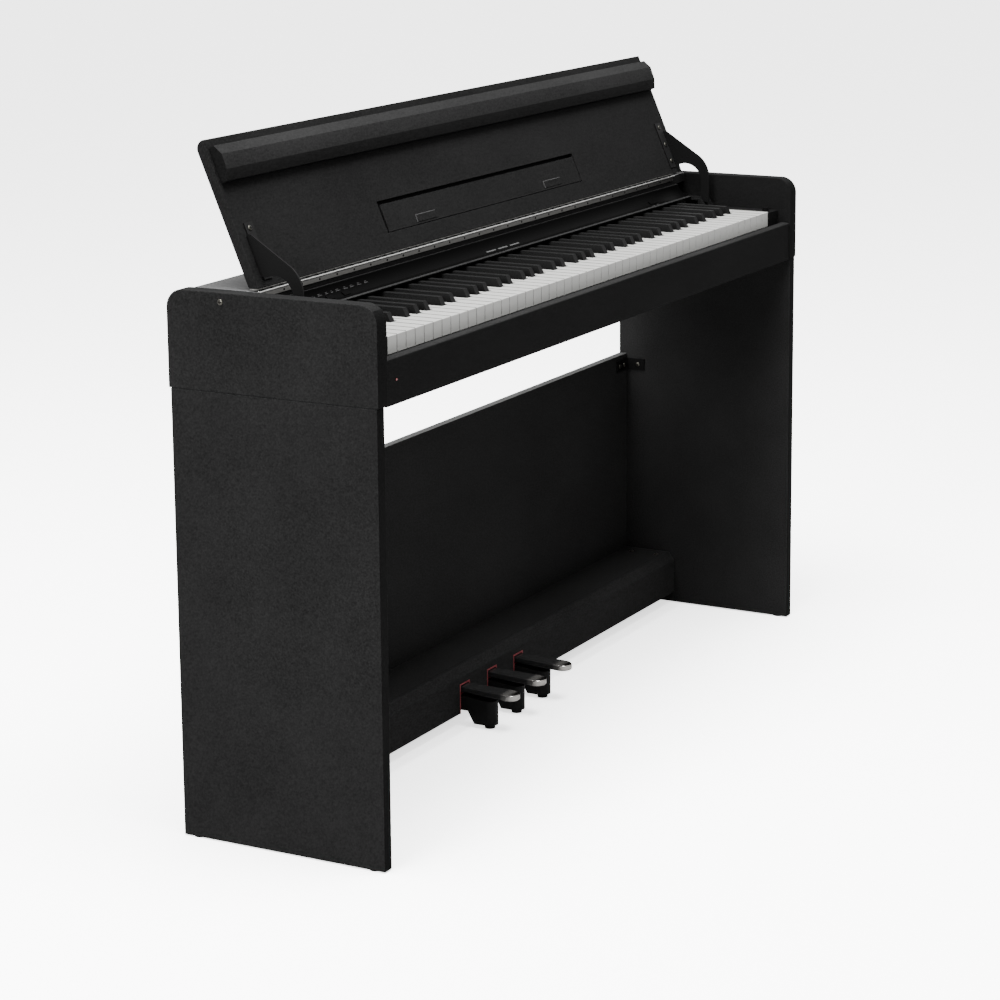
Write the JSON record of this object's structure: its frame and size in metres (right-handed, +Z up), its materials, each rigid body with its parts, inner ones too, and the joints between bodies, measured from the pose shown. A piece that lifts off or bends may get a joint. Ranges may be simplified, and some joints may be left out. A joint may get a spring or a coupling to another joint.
{
  "type": "digital piano on stand",
  "caption": "Slim upright digital piano with a full keyboard, lifting lid with folding music rest, end-panel stand, back panel and a pedal shelf with sprung pedals.",
  "frame": {"origin": "middle of the footprint, on the floor", "axes": "+X toward the treble end, +Y from the player toward the back, +Z up"},
  "size_m": [1.354, 0.32, 0.9426],
  "materials": {
    "black_laminate": "matt black woodgrain laminate on board",
    "gloss_black": "gloss black moulding",
    "black_plastic": "satin black moulding",
    "rubber": "soft black rubber",
    "satin_steel": "satin plated steel",
    "black_metal": "black painted steel",
    "felt": "red felt",
    "circuit_board": "green board",
    "white_key": "satin white key plastic",
    "black_key": "matt black key plastic",
    "button": "smooth black",
    "lamp_red": "red lens",
    "chrome": "polished plating"
  },
  "bodies": {
    "case": {"side_panel_left": "black_laminate", "side_panel_right": "black_laminate", "bottom_board": "black_laminate", "front_board": "black_laminate", "top_board": "black_laminate", "rear_cover": "black_laminate", "control_panel": "gloss_black", "key_blocks": "black_plastic", "lid_bumpers": "rubber", "hinge_fixed_leaf": "satin_steel", "hinge_pin": "satin_steel", "key_frame": "satin_steel", "key_pivot_rod": "satin_steel", "key_felts": "felt", "circuit_boards": "circuit_board", "rubber_domes": "rubber", "power_lamp": "lamp_red", "rear_sockets": "black_plastic", "speakers": "black_plastic", "speaker_grilles": "black_plastic", "leg_left": "black_laminate", "leg_right": "black_laminate", "back_panel": "black_laminate", "pedal_board_front": "black_laminate", "pedal_board_top": "black_laminate", "stand_brackets": "black_metal", "case_screws": "satin_steel", "floor_glides": "rubber", "pedal_pivots": "satin_steel", "pedal_supports": "black_plastic", "pedal_felts": "felt"},
    "lid": {"lid": "black_laminate", "lid_rail": "black_laminate", "stay_arms": "black_metal", "arm_screws": "satin_steel", "hinge_lid_leaf": "satin_steel", "music_rest_pivots": "satin_steel"},
    "music_rest": {"music_rest": "black_laminate"},
    "white_keys_low": {"white_keys_low": "white_key"},
    "black_keys_low": {"black_keys_low": "black_key"},
    "white_keys_high": {"white_keys_high": "white_key"},
    "black_keys_high": {"black_keys_high": "black_key"},
    "key_c4": {"key_c4": "white_key"},
    "key_c_sharp4": {"key_c_sharp4": "black_key"},
    "key_d4": {"key_d4": "white_key"},
    "key_d_sharp4": {"key_d_sharp4": "black_key"},
    "key_e4": {"key_e4": "white_key"},
    "key_f4": {"key_f4": "white_key"},
    "key_f_sharp4": {"key_f_sharp4": "black_key"},
    "key_g4": {"key_g4": "white_key"},
    "key_g_sharp4": {"key_g_sharp4": "black_key"},
    "key_a4": {"key_a4": "white_key"},
    "key_a_sharp4": {"key_a_sharp4": "black_key"},
    "key_b4": {"key_b4": "white_key"},
    "power_button": {"power_button": "button"},
    "voice_button": {"voice_button": "button"},
    "metronome_button": {"metronome_button": "button"},
    "pedal_left": {"pedal_left": "chrome"},
    "pedal_middle": {"pedal_middle": "chrome"},
    "pedal_right": {"pedal_right": "chrome"}
  },
  "joints": [
    {"name": "lid_hinge", "type": "hinge", "parent": "case", "child": "lid", "pos_m": [0, 0.0304, 0.7505], "axis": [1, 0, 0], "range_deg": [0, 125]},
    {"name": "music_rest_hinge", "type": "hinge", "parent": "lid", "child": "music_rest", "pos_m": [0, 0.04881, 0.78017], "axis": [1, 0, 0], "range_deg": [0, 80]},
    {"name": "white_keys_low_press", "type": "hinge", "parent": "case", "child": "white_keys_low", "pos_m": [0, 0.073, 0.693], "axis": [1, 0, 0], "range_deg": [0, 2.7], "stiffness_Nm_per_rad": 34.5, "springref_deg": -6.88},
    {"name": "black_keys_low_press", "type": "hinge", "parent": "case", "child": "black_keys_low", "pos_m": [0, 0.073, 0.693], "axis": [1, 0, 0], "range_deg": [0, 2.7], "stiffness_Nm_per_rad": 19.2, "springref_deg": -6.88},
    {"name": "white_keys_high_press", "type": "hinge", "parent": "case", "child": "white_keys_high", "pos_m": [0, 0.073, 0.693], "axis": [1, 0, 0], "range_deg": [0, 2.7], "stiffness_Nm_per_rad": 33, "springref_deg": -6.88},
    {"name": "black_keys_high_press", "type": "hinge", "parent": "case", "child": "black_keys_high", "pos_m": [0, 0.073, 0.693], "axis": [1, 0, 0], "range_deg": [0, 2.7], "stiffness_Nm_per_rad": 18, "springref_deg": -6.88},
    {"name": "key_c4_press", "type": "hinge", "parent": "case", "child": "key_c4", "pos_m": [0, 0.073, 0.693], "axis": [1, 0, 0], "range_deg": [0, 2.7], "stiffness_Nm_per_rad": 1.5, "springref_deg": -6.88},
    {"name": "key_c_sharp4_press", "type": "hinge", "parent": "case", "child": "key_c_sharp4", "pos_m": [0, 0.073, 0.693], "axis": [1, 0, 0], "range_deg": [0, 2.7], "stiffness_Nm_per_rad": 1.2, "springref_deg": -6.88},
    {"name": "key_d4_press", "type": "hinge", "parent": "case", "child": "key_d4", "pos_m": [0, 0.073, 0.693], "axis": [1, 0, 0], "range_deg": [0, 2.7], "stiffness_Nm_per_rad": 1.5, "springref_deg": -6.88},
    {"name": "key_d_sharp4_press", "type": "hinge", "parent": "case", "child": "key_d_sharp4", "pos_m": [0, 0.073, 0.693], "axis": [1, 0, 0], "range_deg": [0, 2.7], "stiffness_Nm_per_rad": 1.2, "springref_deg": -6.88},
    {"name": "key_e4_press", "type": "hinge", "parent": "case", "child": "key_e4", "pos_m": [0, 0.073, 0.693], "axis": [1, 0, 0], "range_deg": [0, 2.7], "stiffness_Nm_per_rad": 1.5, "springref_deg": -6.88},
    {"name": "key_f4_press", "type": "hinge", "parent": "case", "child": "key_f4", "pos_m": [0, 0.073, 0.693], "axis": [1, 0, 0], "range_deg": [0, 2.7], "stiffness_Nm_per_rad": 1.5, "springref_deg": -6.88},
    {"name": "key_f_sharp4_press", "type": "hinge", "parent": "case", "child": "key_f_sharp4", "pos_m": [0, 0.073, 0.693], "axis": [1, 0, 0], "range_deg": [0, 2.7], "stiffness_Nm_per_rad": 1.2, "springref_deg": -6.88},
    {"name": "key_g4_press", "type": "hinge", "parent": "case", "child": "key_g4", "pos_m": [0, 0.073, 0.693], "axis": [1, 0, 0], "range_deg": [0, 2.7], "stiffness_Nm_per_rad": 1.5, "springref_deg": -6.88},
    {"name": "key_g_sharp4_press", "type": "hinge", "parent": "case", "child": "key_g_sharp4", "pos_m": [0, 0.073, 0.693], "axis": [1, 0, 0], "range_deg": [0, 2.7], "stiffness_Nm_per_rad": 1.2, "springref_deg": -6.88},
    {"name": "key_a4_press", "type": "hinge", "parent": "case", "child": "key_a4", "pos_m": [0, 0.073, 0.693], "axis": [1, 0, 0], "range_deg": [0, 2.7], "stiffness_Nm_per_rad": 1.5, "springref_deg": -6.88},
    {"name": "key_a_sharp4_press", "type": "hinge", "parent": "case", "child": "key_a_sharp4", "pos_m": [0, 0.073, 0.693], "axis": [1, 0, 0], "range_deg": [0, 2.7], "stiffness_Nm_per_rad": 1.2, "springref_deg": -6.88},
    {"name": "key_b4_press", "type": "hinge", "parent": "case", "child": "key_b4", "pos_m": [0, 0.073, 0.693], "axis": [1, 0, 0], "range_deg": [0, 2.7], "stiffness_Nm_per_rad": 1.5, "springref_deg": -6.88},
    {"name": "power_button_push", "type": "slide", "parent": "case", "child": "power_button", "axis": [0, 0.5736, -0.8192], "range_m": [0, 0.001], "stiffness_N_per_m": 800, "springref_m": -0.002},
    {"name": "voice_button_push", "type": "slide", "parent": "case", "child": "voice_button", "axis": [0, 0.5736, -0.8192], "range_m": [0, 0.001], "stiffness_N_per_m": 800, "springref_m": -0.002},
    {"name": "metronome_button_push", "type": "slide", "parent": "case", "child": "metronome_button", "axis": [0, 0.5736, -0.8192], "range_m": [0, 0.001], "stiffness_N_per_m": 800, "springref_m": -0.002},
    {"name": "pedal_left_press", "type": "hinge", "parent": "case", "child": "pedal_left", "pos_m": [0, 0.111, 0.05], "axis": [1, 0, 0], "range_deg": [0, 3.5], "stiffness_Nm_per_rad": 20, "springref_deg": -5.73},
    {"name": "pedal_middle_press", "type": "hinge", "parent": "case", "child": "pedal_middle", "pos_m": [0, 0.111, 0.05], "axis": [1, 0, 0], "range_deg": [0, 3.5], "stiffness_Nm_per_rad": 20, "springref_deg": -5.73},
    {"name": "pedal_right_press", "type": "hinge", "parent": "case", "child": "pedal_right", "pos_m": [0, 0.111, 0.05], "axis": [1, 0, 0], "range_deg": [0, 3.5], "stiffness_Nm_per_rad": 20, "springref_deg": -5.73}
  ]
}
